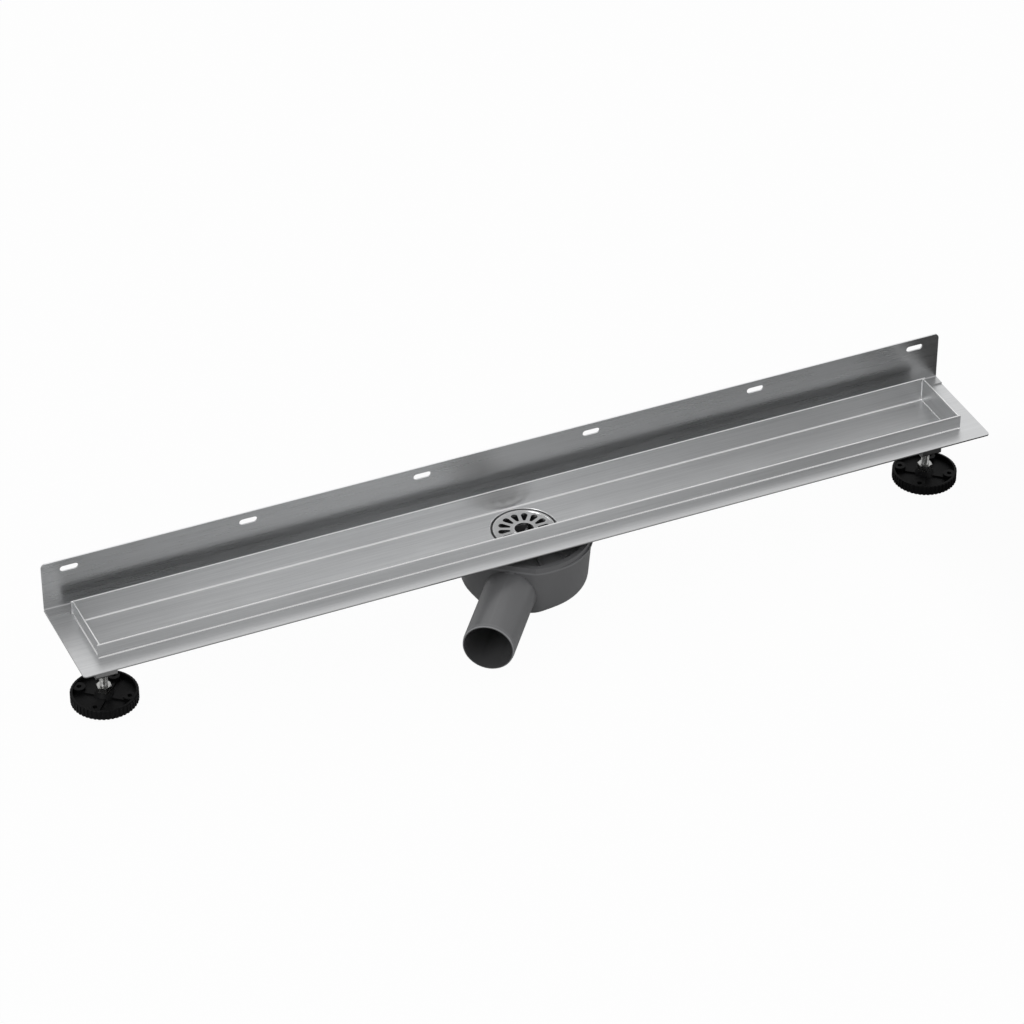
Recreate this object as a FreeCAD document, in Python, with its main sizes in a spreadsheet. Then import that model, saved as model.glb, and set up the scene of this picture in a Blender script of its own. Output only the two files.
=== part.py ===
import FreeCAD, Part
import Sketcher

import math
import os
import re

# Channel drain: a folded steel trough with a wall upstand, a turning siphon and two screw feet.
# Frame in mm: X along the channel, -Y to the room, +Y to the wall, +Z up.
# Origin at mid-length, on the channel's centre line, on top of the sealing flange.

doc = FreeCAD.newDocument("ChannelDrain")
# Sizes of the product in mm and degrees, each named once
sizes = {
    # Sheet metal of the channel
    "sheet": 1.5,                 # steel sheet thickness
    "bend": 1.5,                  # inner radius of the folds
    "flange_length": 940,         # overall length of flange and upstand
    "end_flange": 21.5,           # flange beyond the trough at each end
    "rim_width": 73.5,            # outer width of the trough
    "rim_height": 14,             # rim above the flange
    "channel_depth": 24.3,        # rim down to the trough floor
    "end_inset": 1.5,             # end wall set in from the trough's cut end
    "front_flange": 21.7,         # flange in front of the trough
    "wall_gap": 14,               # trough to the upstand's face
    "flange_corner": 3.5,         # rounded front corners of the flange
    "upstand_height": 52.5,       # upstand above the flange
    "upstand_corner": 5,          # rounded top corners of the upstand
    "foot_strip": 12,             # strip of the upstand that lies on the flange
    # Fixing slots in the upstand
    "slot_count": 6,              # fixing slots
    "slot_end": 27,               # outer slots from the ends of the upstand
    "slot_level": 42.5,           # slot centre above the flange
    "slot_length": 18,            # slot from end to end
    "slot_width": 6,              # slot width
    # Outlet in the trough floor
    "outlet_offset": -5.2,        # outlet axis from mid-length
    "recess_radius": 32.5,        # pressed seat in the trough floor
    "recess_depth": 4.5,          # depth of the pressed seat
    "recess_round": 1.0,          # rounding of the pressed edge
    "neck_radius": 26.8,          # outer radius of the clamp ring's neck
    "turn_gap": 0.3,              # clearance of the turning siphon to the channel
    "ring_edge": 31.9,            # outer radius of the clamp ring's flange
    "ring_thick": 2.0,            # thickness of the clamp ring's flange
    "neck_wall": 2.4,             # wall of the clamp ring's neck
    "neck_length": 11.2,          # clamp ring's neck below its flange
    "ledge_depth": 7.7,           # ledge for the insert below the seat
    "ledge_width": 2.0,           # width of that ledge
    "key_count": 6,               # key notches in the clamp ring
    "key_width": 5,               # width of a key notch
    "key_depth": 1.2,             # depth of a key notch
    # Strainer plate
    "strainer_radius": 30.3,      # strainer plate
    "strainer_thick": 1.5,        # thickness of the plate
    "strainer_bead": 0.5,         # height of the raised borders
    "border_width": 1.6,          # width of the raised borders
    "finger_radius": 9.3,         # finger hole
    "petal_count": 14,            # petal openings
    "petal_turn": 14.3,           # turn of the first petal from X
    "petal_inner": 15.1,          # inner centre of a petal
    "petal_outer": 22.2,          # outer centre of a petal
    "petal_tip": 1.5,             # radius of the inner end
    "petal_round": 3.2,           # radius of the outer end
    # Siphon
    "siphon_turn": -37.7,         # outlet pipe turned from -Y
    "gasket_thick": 2.0,          # gasket under the trough
    "gasket_edge": 36.5,          # outer radius of the gasket
    "body_radius": 65.0,          # siphon body at its rim
    "body_taper": 4.2,            # radius lost from the rim to the bottom
    "body_round": 10.6,           # rounding of the bottom edge
    "body_wall": 2.5,             # moulded wall
    "cover_top": -12.1,           # level of the cover's edge
    "joint_level": -17.5,         # level where cover and body meet
    "body_bottom": -69.6,         # underside of the siphon body
    "face_inset": 5.0,            # flat face inside the rim's circle
    "hood_side": 0.6,             # hood wider than the pipe, at each side
    "lip": 1.5,                   # lip round the body's rim
    "lip_thick": 2.0,             # height of that lip
    "lip_sweep": 284,             # lip round the bowl, open at the pipe
    "hood_round": 7.0,            # rounding of the hood's bottom edge
    "hood_corner": 3.0,           # rounding of the hood's upright edges
    "plate_thick": 2.5,           # plate of the cover
    "spigot_fit": 0.5,            # clearance of the cover in the body
    "collar_wall": 3.2,           # wall of the threaded collar
    "collar_length": 8.7,         # collar below the gasket seat
    "rib_count": 12,              # ribs on the cover
    "rib_thick": 1.6,             # thickness of those ribs
    "rib_rise": 3.7,              # height of those ribs
    "rib_gap": 1.0,               # ribs clear of the gasket
    "pipe_radius": 25.0,          # outlet pipe, outside
    "pipe_wall": 1.8,             # wall of the outlet pipe
    "pipe_level": -44.7,          # axis of the outlet pipe
    "pipe_length": 86.8,          # pipe in front of the flat face
    "root_length": 3.0,           # thicker root of the pipe at the hood
    "root_step": 0.5,             # how much thicker
    "pipe_chamfer": 1.0,          # chamfer of the pipe end
    # Trap insert
    "insert_fit": 0.3,            # clearance of the insert in the ring
    "insert_rim": 4.0,            # height of the insert's rim
    "insert_wall": 1.6,           # wall of the insert
    "insert_lip": 1.0,            # step inside the insert's rim
    "cup_bevel": 1.5,             # bevel of the cup's bottom edge
    "seal_radius": 1.0,           # section radius of the ring seal
    "tube_radius": 16.0,          # dip tube, outside
    "funnel_depth": 5.5,          # funnel below the rim
    "tube_bottom": -54.0,         # lower end of the dip tube
    "cup_radius": 22.0,           # cup, outside
    "cup_top": -36.0,             # rim of the cup
    "cup_bottom": -60.0,          # underside of the cup
    "grip_thick": 2.2,            # bar across the insert
    "grip_height": 7.5,           # height of that bar
    "fin_thick": 1.6,             # ribs that hold the cup
    "fin_height": 14,             # height of those ribs
    "cup_fit": 0.05,              # clearance of the cup on its ribs
    # Screw feet
    "foot_inset": 14.9,           # foot axis from the trough's end
    "floor_level": -78.2,         # floor below the flange
    "pad_radius": 32.2,           # foot disc
    "pad_height": 10.0,           # height of the disc
    "pad_wall": 2.6,              # rim wall of the disc
    "pad_floor": 5.0,             # thickness of the disc inside its rim
    "pad_dish": 2.0,              # hollow under the disc
    "pad_bevel": 0.8,             # bevel of the disc's top edge
    "arm_height": 1.5,            # arms above the disc's floor
    "boss_drop": 0.8,             # bosses below the disc's top edge
    "hub_radius": 6.2,            # hub at its top
    "hub_foot": 10.5,             # hub at the disc
    "arm_width": 9.0,             # arms from the hub to the screw holes
    "boss_radius": 6.0,           # boss round a screw hole
    "screw_circle": 25.0,         # screw holes from the foot's axis
    "screw_radius": 2.4,          # screw hole
    "screw_turn": 50.0,           # first screw hole from X
    "screw_count": 4,             # screw holes
    "groove_count": 48,           # grooves round the rim
    "groove_width": 1.9,          # width of a groove
    "groove_depth": 0.6,          # depth of a groove
    "stud_radius": 4.0,           # threaded stud
    "stud_length": 51.0,          # length of the stud
    "stud_socket": 7.0,           # depth of the stud in the hub
    "stud_chamfer": 1.0,          # chamfer of the stud's ends
    "stud_fit": 0.06,             # running clearance of the stud
    "nut_flats": 13.0,            # nut across its flats
    "nut_height": 6.5,            # height of a nut
    "hub_gap": 0.1,               # hexagon above the hub
    # Brackets of the feet
    "bracket_thick": 2.0,         # sheet of the bracket
    "bracket_bend": 1.0,          # inner radius of its folds
    "bracket_length": 21.0,       # bracket along the channel
    "bracket_half": 12.0,         # outer face of a web from the foot's axis
    "bracket_drop": 45.5,         # underside of the bracket below the flange
    "bracket_wing": 9.0,          # welded wing beside a web
    "stud_way": 0.6,              # clearance of the stud in the bracket's hole
}

# Sizes that follow from the named ones
derived = {
    "rimLength": "(flange_length - 2 * end_flange)",
    "slotPitch": "((flange_length - 2 * slot_end) / (slot_count - 1))",
    "footReach": "(flange_length / 2 - end_flange - foot_inset)",
    "faceReach": "(body_radius - face_inset)",
    "footRadius": "(body_radius - body_taper)",
    "hoodHalf": "(pipe_radius + hood_side)",
    "pipeReach": "(body_radius - face_inset + pipe_length)",
}

sheet = doc.addObject("Spreadsheet::Sheet", "Sizes")
for row, (name, value) in enumerate(sizes.items(), 1):
    sheet.set("A%d" % row, name.replace("_", " "))
    sheet.set("B%d" % row, str(value))
    sheet.setAlias("B%d" % row, name)
doc.recompute()


def named(expression):
    """Points each size's name in an expression at its cell."""
    expression = re.sub(r"[a-z]+[A-Z][A-Za-z]+", lambda m: derived.get(m.group(), m.group()), expression)
    return re.sub(r"[a-z][a-z_]+", lambda m: "Sizes." + m.group() if m.group() in sizes else m.group(), expression)


def number(expression):
    return float(sheet.evalExpression(named(str(expression))))


def bind(thing, prop, expression):
    thing.setExpression(prop, named(str(expression)))


def originFeature(body, role):
    return [f for f in body.Origin.OriginFeatures if f.Role == role][0]


def newBody(label, x=None, z=None, turn=None):
    """An empty body, standing at its place in the channel."""
    body = doc.addObject("PartDesign::Body", label)
    body.Label = label
    if x is not None:
        bind(body, "Placement.Base.x", x)
    if z is not None:
        bind(body, "Placement.Base.z", z)
    if turn is not None:
        bind(body, "Placement.Rotation.Angle", "(%s) * 1 deg" % turn)
    return body


def newSketch(body, plane, offset=None):
    sketch = body.newObject("Sketcher::SketchObject", body.Label + "_sketch")
    sketch.AttachmentSupport = (originFeature(body, plane), [""])
    sketch.MapMode = "FlatFace"
    if offset is not None:
        bind(sketch, "AttachmentOffset.Base.z", offset)
    return sketch


def fix(sketch, geometry, point, x, y):
    """Holds one point of a sketch at two named coordinates."""
    for kind, expression in (("DistanceX", x), ("DistanceY", y)):
        k = sketch.addConstraint(Sketcher.Constraint(kind, -1, 1, geometry, point, number(expression)))
        bind(sketch, "Constraints[%d]" % k, expression)


def polygon(sketch, corners):
    """A closed outline. A corner is (x, y), or (x, y, radius) where it is rounded."""
    spots = [FreeCAD.Vector(number(c[0]), number(c[1]), 0) for c in corners]
    count = len(corners)
    arrive, leave, rounds = list(spots), list(spots), {}
    for i, corner in enumerate(corners):
        if len(corner) == 3:
            back = (spots[i - 1] - spots[i]).normalize()
            ahead = (spots[(i + 1) % count] - spots[i]).normalize()
            half = back.getAngle(ahead) / 2
            radius = number(corner[2])
            arrive[i] = spots[i] + back * (radius / math.tan(half))
            leave[i] = spots[i] + ahead * (radius / math.tan(half))
            centre = spots[i] + (back + ahead).normalize() * (radius / math.sin(half))
            rounds[i] = (centre, radius, ahead.cross(back).z > 0)
    first = sketch.GeometryCount
    for i in range(count):
        sketch.addGeometry(Part.LineSegment(leave[i], arrive[(i + 1) % count]), False)
    for i, corner in enumerate(corners):
        before, after = first + (i - 1) % count, first + i
        if i not in rounds:
            sketch.addConstraint(Sketcher.Constraint("Coincident", before, 2, after, 1))
            fix(sketch, after, 1, corner[0], corner[1])
            continue
        centre, radius, leftTurn = rounds[i]
        start, stop = (arrive[i], leave[i]) if leftTurn else (leave[i], arrive[i])
        angles = [math.atan2(p.y - centre.y, p.x - centre.x) for p in (start, stop)]
        if angles[1] < angles[0]:
            angles[1] += 2 * math.pi
        disc = Part.Circle(centre, FreeCAD.Vector(0, 0, 1), radius)
        arc = sketch.addGeometry(Part.ArcOfCircle(disc, angles[0], angles[1]), False)
        spot = sketch.addGeometry(Part.Point(spots[i]), True)
        sketch.addConstraint(Sketcher.Constraint("Tangent", before, 2, arc, 1 if leftTurn else 2))
        sketch.addConstraint(Sketcher.Constraint("Tangent", arc, 2 if leftTurn else 1, after, 1))
        k = sketch.addConstraint(Sketcher.Constraint("Radius", arc, radius))
        bind(sketch, "Constraints[%d]" % k, corner[2])
        sketch.addConstraint(Sketcher.Constraint("PointOnObject", spot, 1, before))
        sketch.addConstraint(Sketcher.Constraint("PointOnObject", spot, 1, after))
        fix(sketch, spot, 1, corner[0], corner[1])
    return sketch


def box(sketch, x0, x1, y0, y1):
    return polygon(sketch, [(x0, y0), (x1, y0), (x1, y1), (x0, y1)])


def circle(sketch, x, y, radius):
    centre = FreeCAD.Vector(number(x), number(y), 0)
    k = sketch.addGeometry(Part.Circle(centre, FreeCAD.Vector(0, 0, 1), number(radius)), False)
    fix(sketch, k, 3, x, y)
    c = sketch.addConstraint(Sketcher.Constraint("Radius", k, number(radius)))
    bind(sketch, "Constraints[%d]" % c, radius)
    return sketch


def feature(body, kind, sketch, **settings):
    made = body.newObject("PartDesign::" + kind, body.Label + "_" + kind.lower())
    made.Profile = sketch
    for key, value in settings.items():
        if isinstance(value, str) and key in ("Length", "Length2"):
            bind(made, key, value)
        else:
            setattr(made, key, value)
    return made


def pad(body, sketch, length, **settings):
    return feature(body, "Pad", sketch, Length=length, **settings)


def pocket(body, sketch, length, **settings):
    return feature(body, "Pocket", sketch, Length=length, **settings)


def throughPocket(body, sketch, **settings):
    return feature(body, "Pocket", sketch, Type="ThroughAll", **settings)


def lathe(body, kind, corners, plane="XZ_Plane"):
    """Turns an outline of (radius, level) corners about the body's own upright axis."""
    sketch = polygon(newSketch(body, plane), corners)
    return feature(body, kind, sketch, ReferenceAxis=(sketch, ["V_Axis"]), Angle=360)


def dress(body, kind, amount, pick):
    """Rounds or bevels the edges of the body so far that pick chooses."""
    doc.recompute()
    base = body.Tip
    names = ["Edge%d" % (i + 1) for i, e in enumerate(base.Shape.Edges) if pick(e)]
    if not names:
        raise RuntimeError("%s: no edge to dress" % body.Label)
    made = body.newObject("PartDesign::" + kind, body.Label + "_" + kind.lower())
    made.Base = (base, names)
    bind(made, "Radius" if kind == "Fillet" else "Size", amount)
    return made


def around(body, original, count):
    """Repeats a feature round the body's upright axis."""
    pattern = body.newObject("PartDesign::PolarPattern", body.Label + "_ring")
    pattern.Originals = [original]
    pattern.Axis = (originFeature(body, "Z_Axis"), [""])
    pattern.Angle = 360
    bind(pattern, "Occurrences", count)
    body.Tip = pattern
    return pattern


def near(value, expression, slack=0.02):
    return abs(value - number(expression)) < slack


def ends(edge):
    return [v.Point for v in edge.Vertexes]


def runsAlong(edge, axis):
    """True for a straight edge parallel to X, Y or Z."""
    points = ends(edge)
    if len(points) != 2 or not isinstance(edge.Curve, (Part.Line, Part.LineSegment)):
        return False
    along = points[1] - points[0]
    return all(abs(along[k]) < 1e-4 for k in range(3) if k != axis)


floorTop = "(rim_height - channel_depth)"
floorUnder = "(rim_height - channel_depth - sheet)"
seatTop = "(rim_height - channel_depth - recess_depth)"
seatUnder = "(rim_height - channel_depth - recess_depth - sheet)"
ringTop = "(rim_height - channel_depth - recess_depth + ring_thick)"
gasketUnder = "(rim_height - channel_depth - recess_depth - sheet - gasket_thick)"
upstandFace = "(rim_width / 2 + wall_gap)"


# Trough, a U fold with its rim walls, open at both ends
trough = newBody("channel_trough")
outline = polygon(newSketch(trough, "YZ_Plane"), [
    ("-rim_width / 2", "rim_height"), ("-rim_width / 2", floorUnder, "bend + sheet"),
    ("rim_width / 2", floorUnder, "bend + sheet"), ("rim_width / 2", "rim_height"),
    ("rim_width / 2 - sheet", "rim_height"), ("rim_width / 2 - sheet", floorTop, "bend"),
    ("-rim_width / 2 + sheet", floorTop, "bend"), ("-rim_width / 2 + sheet", "rim_height")])
pad(trough, outline, "rimLength", Midplane=True)
mouth = circle(newSketch(trough, "XY_Plane"), "outlet_offset", "0", "recess_radius")
throughPocket(trough, mouth)

# Pressed seat round the outlet, hung in the trough floor
seat = newSketch(trough, "XZ_Plane")
polygon(seat, [
    ("outlet_offset + recess_radius", floorTop), ("outlet_offset + recess_radius + sheet", floorTop),
    ("outlet_offset + recess_radius + sheet", seatUnder),
    ("outlet_offset + neck_radius + turn_gap", seatUnder), ("outlet_offset + neck_radius + turn_gap", seatTop),
    ("outlet_offset + recess_radius", seatTop)])
axisLine = seat.addGeometry(Part.LineSegment(
    FreeCAD.Vector(number("outlet_offset"), 0, 0),
    FreeCAD.Vector(number("outlet_offset"), number("rim_height"), 0)), True)
fix(seat, axisLine, 1, "outlet_offset", "0")
fix(seat, axisLine, 2, "outlet_offset", "rim_height")
feature(trough, "Revolution", seat, ReferenceAxis=(seat, ["Axis0"]), Angle=360)
dress(trough, "Fillet", "recess_round", lambda e: isinstance(e.Curve, Part.Circle)
      and near(e.Curve.Radius, "recess_radius") and near(e.Curve.Center.z, floorTop))


# End walls, set in between the long walls
def endWall(label, side):
    wall = newBody(label)
    edge = "rim_width / 2 - sheet"
    start = "%d * (rimLength / 2 - end_inset - sheet / 2) - sheet / 2" % side
    plate = polygon(newSketch(wall, "YZ_Plane", start), [
        ("-(%s)" % edge, "rim_height"), ("-(%s)" % edge, floorTop, "bend"),
        (edge, floorTop, "bend"), (edge, "rim_height")])
    pad(wall, plate, "sheet")


endWall("end_wall_left", -1)
endWall("end_wall_right", 1)


# Sealing flange round the trough
flange = newBody("sealing_flange")
plate = newSketch(flange, "XY_Plane")
box(plate, "-flange_length / 2", "flange_length / 2", "-rim_width / 2 - front_flange", upstandFace + " + sheet")
tip, wallFace = "rimLength / 2", "(rimLength / 2 - end_inset)"
side, inside = "rim_width / 2", "(rim_width / 2 - sheet)"
polygon(plate, [
    ("-" + tip, "-" + side), (tip, "-" + side), (tip, "-" + inside), (wallFace, "-" + inside),
    (wallFace, inside), (tip, inside), (tip, side), ("-" + tip, side), ("-" + tip, inside),
    ("-" + wallFace, inside), ("-" + wallFace, "-" + inside), ("-" + tip, "-" + inside)])
pad(flange, plate, "sheet", Reversed=True)
dress(flange, "Fillet", "flange_corner",
      lambda e: runsAlong(e, 2) and near(ends(e)[0].y, "-rim_width / 2 - front_flange"))


# Upstand, an angle folded from one strip, its lower leg on the flange
upstand = newBody("wall_upstand")
angle = newSketch(upstand, "YZ_Plane")
polygon(angle, [
    (upstandFace + " - foot_strip", "0"), (upstandFace + " + sheet", "0", "bend + sheet"),
    (upstandFace + " + sheet", "upstand_height"), (upstandFace, "upstand_height"),
    (upstandFace, "sheet", "bend"), (upstandFace + " - foot_strip", "sheet")])
pad(upstand, angle, "flange_length", Midplane=True)
dress(upstand, "Fillet", "upstand_corner",
      lambda e: runsAlong(e, 1) and near(ends(e)[0].z, "upstand_height"))

# First fixing slot and its row
slot = newSketch(upstand, "XZ_Plane", "-(%s + sheet / 2)" % upstandFace)
slotX = "-slotPitch * (slot_count - 1) / 2"
halfRun = "(slot_length - slot_width) / 2"
left, right = "%s - %s" % (slotX, halfRun), "%s + %s" % (slotX, halfRun)
low, high, r = "slot_level - slot_width / 2", "slot_level + slot_width / 2", "slot_width / 2"
for x0, x1, level in ((left, right, low), (right, left, high)):
    slot.addGeometry(Part.LineSegment(FreeCAD.Vector(number(x0), number(level), 0),
                                      FreeCAD.Vector(number(x1), number(level), 0)), False)
for k, (x, start) in enumerate(((right, -90), (left, 90))):
    arc = Part.Circle(FreeCAD.Vector(number(x), number("slot_level"), 0), FreeCAD.Vector(0, 0, 1), number(r))
    slot.addGeometry(Part.ArcOfCircle(arc, math.radians(start), math.radians(start + 180)), False)
for line, point, arcIndex, arcPoint in ((0, 2, 2, 1), (1, 1, 2, 2), (1, 2, 3, 1), (0, 1, 3, 2)):
    slot.addConstraint(Sketcher.Constraint("Coincident", line, point, arcIndex, arcPoint))
fix(slot, 2, 3, right, "slot_level")
fix(slot, 3, 3, left, "slot_level")
fix(slot, 0, 2, right, low)
fix(slot, 1, 2, left, high)
slot.addConstraint(Sketcher.Constraint("Vertical", 1, 1, 2, 3))
slot.addConstraint(Sketcher.Constraint("Vertical", 0, 1, 3, 3))
cut = throughPocket(upstand, slot, Midplane=True)
row = upstand.newObject("PartDesign::LinearPattern", "slot_row")
row.Originals = [cut]
row.Direction = (originFeature(upstand, "X_Axis"), [""])
bind(row, "Length", "slotPitch * (slot_count - 1)")
bind(row, "Occurrences", "slot_count")
upstand.Tip = row


# Strainer plate with raised borders and petal openings
strainer = newBody("strainer_plate", x="outlet_offset", turn="petal_turn")
plateTop = ringTop + " + strainer_thick"
lathe(strainer, "Revolution", [
    ("finger_radius", ringTop), ("strainer_radius", ringTop),
    ("strainer_radius", plateTop + " + strainer_bead"),
    ("strainer_radius - border_width", plateTop + " + strainer_bead"),
    ("strainer_radius - border_width", plateTop), ("finger_radius + border_width", plateTop),
    ("finger_radius + border_width", plateTop + " + strainer_bead"),
    ("finger_radius", plateTop + " + strainer_bead")])
petal = newSketch(strainer, "XY_Plane", ringTop + " - strainer_thick")
lean = math.asin((number("petal_round") - number("petal_tip")) / (number("petal_outer") - number("petal_inner")))
for centre, radius, start, stop in (("petal_outer", "petal_round", -math.pi / 2 - lean, math.pi / 2 + lean),
                                    ("petal_inner", "petal_tip", math.pi / 2 + lean, -math.pi / 2 - lean)):
    ring = Part.Circle(FreeCAD.Vector(number(centre), 0, 0), FreeCAD.Vector(0, 0, 1), number(radius))
    k = petal.addGeometry(Part.ArcOfCircle(ring, start, stop), False)
    fix(petal, k, 3, centre, "0")
    c = petal.addConstraint(Sketcher.Constraint("Radius", k, number(radius)))
    bind(petal, "Constraints[%d]" % c, radius)
for up, arcA, arcB in ((1, 2, 1), (-1, 1, 2)):
    a = FreeCAD.Vector(number("petal_outer - petal_round * sin(%r)" % math.degrees(lean)), up * 3.0, 0)
    b = FreeCAD.Vector(number("petal_inner"), up * 1.5, 0)
    k = petal.addGeometry(Part.LineSegment(a, b), False)
    petal.addConstraint(Sketcher.Constraint("Tangent", 0, arcA, k, 1))
    petal.addConstraint(Sketcher.Constraint("Tangent", 1, arcB, k, 2))
opening = pocket(strainer, petal, "4 * strainer_thick", Reversed=True)
around(strainer, opening, "petal_count")


# Clamp ring, screwed into the siphon's collar through the trough
ring = newBody("clamp_ring", x="outlet_offset")
boreRadius = "neck_radius - neck_wall"
neckFoot = seatTop + " - neck_length"
ledge = seatTop + " - ledge_depth"
lathe(ring, "Revolution", [
    (boreRadius, ringTop), ("ring_edge", ringTop), ("ring_edge", seatTop), ("neck_radius", seatTop),
    ("neck_radius", neckFoot), (boreRadius + " - ledge_width", neckFoot),
    (boreRadius + " - ledge_width", ledge), (boreRadius, ledge)])
notch = newSketch(ring, "XY_Plane", ringTop + " - 1.5 * ring_thick")
box(notch, boreRadius + " - ledge_width", boreRadius + " + key_depth", "-key_width / 2", "key_width / 2")
key = pocket(ring, notch, "2 * ring_thick", Reversed=True)
around(ring, key, "key_count")

gasket = newBody("outlet_gasket", x="outlet_offset")
lathe(gasket, "Revolution", [
    ("neck_radius + turn_gap", gasketUnder), ("gasket_edge", gasketUnder),
    ("gasket_edge", seatUnder), ("neck_radius + turn_gap", seatUnder)])


# Outline of the siphon seen from above: a disc with one flat towards the pipe
def flatDisc(sketch, radius, reach):
    """Arc of the given radius, closed by a chord at -Y."""
    half = "sqrt((%s) ^ 2 - (%s) ^ 2)" % (radius, reach)
    R, F, H = number(radius), number(reach), number(half)
    start = math.atan2(-F, H)
    disc = Part.Circle(FreeCAD.Vector(0, 0, 0), FreeCAD.Vector(0, 0, 1), R)
    k = sketch.addGeometry(Part.ArcOfCircle(disc, start, math.pi - start), False)
    sketch.addConstraint(Sketcher.Constraint("Coincident", k, 3, -1, 1))
    c = sketch.addConstraint(Sketcher.Constraint("Radius", k, R))
    bind(sketch, "Constraints[%d]" % c, radius)
    chord = sketch.addGeometry(Part.LineSegment(FreeCAD.Vector(-H, -F, 0), FreeCAD.Vector(H, -F, 0)), False)
    sketch.addConstraint(Sketcher.Constraint("Coincident", k, 2, chord, 1))
    sketch.addConstraint(Sketcher.Constraint("Coincident", k, 1, chord, 2))
    sketch.addConstraint(Sketcher.Constraint("Horizontal", chord))
    c = sketch.addConstraint(Sketcher.Constraint("DistanceY", -1, 1, chord, 1, -F))
    bind(sketch, "Constraints[%d]" % c, "-(%s)" % reach)
    return sketch


# Siphon cover, a dished lid with the threaded collar
cover = newBody("siphon_cover", x="outlet_offset", turn="siphon_turn")
pad(cover, flatDisc(newSketch(cover, "XY_Plane", "joint_level"), "body_radius", "faceReach"),
    "cover_top - joint_level")
inner = flatDisc(newSketch(cover, "XY_Plane", "%s - plate_thick" % gasketUnder),
                 "body_radius - body_wall - spigot_fit", "faceReach - body_wall - spigot_fit")
pad(cover, inner, "joint_level - (%s - plate_thick)" % gasketUnder)
dish = flatDisc(newSketch(cover, "XY_Plane", "cover_top"), "body_radius - 2 * body_wall", "faceReach - 2 * body_wall")
pocket(cover, dish, "cover_top - %s" % gasketUnder)
collarTop = circle(newSketch(cover, "XY_Plane", gasketUnder), "0", "0", "neck_radius + collar_wall")
pad(cover, collarTop, "collar_length", Reversed=True)
collarBore = circle(newSketch(cover, "XY_Plane", gasketUnder), "0", "0", "neck_radius")
pocket(cover, collarBore, "collar_length")
rib = newSketch(cover, "XY_Plane", gasketUnder)
box(rib, "gasket_edge + rib_gap", "faceReach - 1.5 * body_wall", "-rib_thick / 2", "rib_thick / 2")
stiffener = pad(cover, rib, "rib_rise")
around(cover, stiffener, "rib_count")


# Siphon body, one moulding: a tapered bowl that runs into a flat-faced hood and the outlet pipe
def siphonForm(label, wall, pipeRadius):
    """The outer form for wall 0; the same form less one wall is the core that hollows it."""
    form = newBody(label, x="outlet_offset", turn="siphon_turn")
    foot, front = "(body_bottom + %s)" % wall, "(faceReach - %s)" % wall
    hood = polygon(newSketch(form, "YZ_Plane"), [
        ("-" + front, "joint_level"), ("-" + front, foot, "max(hood_round - %s; 0.3)" % wall),
        ("-faceReach / 2", foot), ("-faceReach / 2", "joint_level")])
    pad(form, hood, "2 * (hoodHalf - %s)" % wall, Midplane=True)
    dress(form, "Fillet", "max(hood_corner - %s; 0.3)" % wall,
          lambda e: runsAlong(e, 2) and near(ends(e)[0].y, "-" + front))
    lathe(form, "Revolution", [
        ("0", foot), ("footRadius - %s" % wall, foot, "max(body_round - %s; 0.3)" % wall),
        ("body_radius - %s" % wall, "joint_level"), ("0", "joint_level")])
    chord = newSketch(form, "XY_Plane", "joint_level")
    box(chord, "-2 * body_radius", "2 * body_radius", "-2 * body_radius", "-" + front)
    pocket(form, chord, "joint_level - body_bottom")
    start = "faceReach - hood_round - %s" % wall
    pipe = circle(newSketch(form, "XZ_Plane", start), "0", "pipe_level", pipeRadius)
    pad(form, pipe, "pipeReach - (%s)" % start)
    return form


shell = siphonForm("siphon_shell", "0", "pipe_radius")
root = circle(newSketch(shell, "XZ_Plane", "faceReach - hood_round"), "0", "pipe_level", "pipe_radius + root_step")
pad(shell, root, "hood_round + root_length")
rimLip = polygon(newSketch(shell, "YZ_Plane"), [
    ("body_radius - lip", "joint_level - lip_thick"), ("body_radius + lip", "joint_level - lip_thick"),
    ("body_radius + lip", "joint_level"), ("body_radius - lip", "joint_level")])
lipTurn = feature(shell, "Revolution", rimLip, ReferenceAxis=(rimLip, ["V_Axis"]), Midplane=True)
bind(lipTurn, "Angle", "lip_sweep")
dress(shell, "Chamfer", "pipe_chamfer", lambda e: isinstance(e.Curve, Part.Circle)
      and near(e.Curve.Center.y, "-pipeReach") and near(e.Curve.Radius, "pipe_radius"))
core = siphonForm("siphon_core", "body_wall", "pipe_radius - pipe_wall")
bowl = doc.addObject("Part::Cut", "siphon_body")
bowl.Base, bowl.Tool = shell, core
bowl.Label = "siphon_body"


# Trap insert: dip tube with its funnel, rim and grip bar
dip = newBody("dip_tube", x="outlet_offset", turn="siphon_turn")
rimRadius = "(%s - insert_fit)" % boreRadius
rimTop = ledge + " + insert_rim"
funnelFoot = ledge + " - funnel_depth"
lathe(dip, "Revolution", [
    (rimRadius, ledge), (rimRadius, rimTop), (rimRadius + " - insert_wall - insert_lip", rimTop),
    (rimRadius + " - insert_wall - insert_lip", ledge + " + insert_wall"),
    ("tube_radius - insert_wall", funnelFoot + " + insert_wall"), ("tube_radius - insert_wall", "tube_bottom"),
    ("tube_radius", "tube_bottom"), ("tube_radius", funnelFoot),
    (boreRadius + " - ledge_width - insert_fit", ledge)])
seatGroove = newSketch(dip, "XZ_Plane")
circle(seatGroove, boreRadius + " - seal_radius", ledge + " + insert_rim / 2", "seal_radius")
feature(dip, "Groove", seatGroove, ReferenceAxis=(seatGroove, ["V_Axis"]), Angle=360)
bar = newSketch(dip, "YZ_Plane")
barHalf = rimRadius + " - insert_wall - insert_lip / 2"
box(bar, "-(%s)" % barHalf, barHalf, rimTop + " - grip_height", rimTop)
pad(dip, bar, "grip_thick", Midplane=True)
fin = newSketch(dip, "XZ_Plane")
box(fin, "tube_radius - insert_wall / 2", "cup_radius - insert_wall - cup_fit", "cup_top - fin_height * 0.65",
    "cup_top + fin_height * 0.35")
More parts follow.
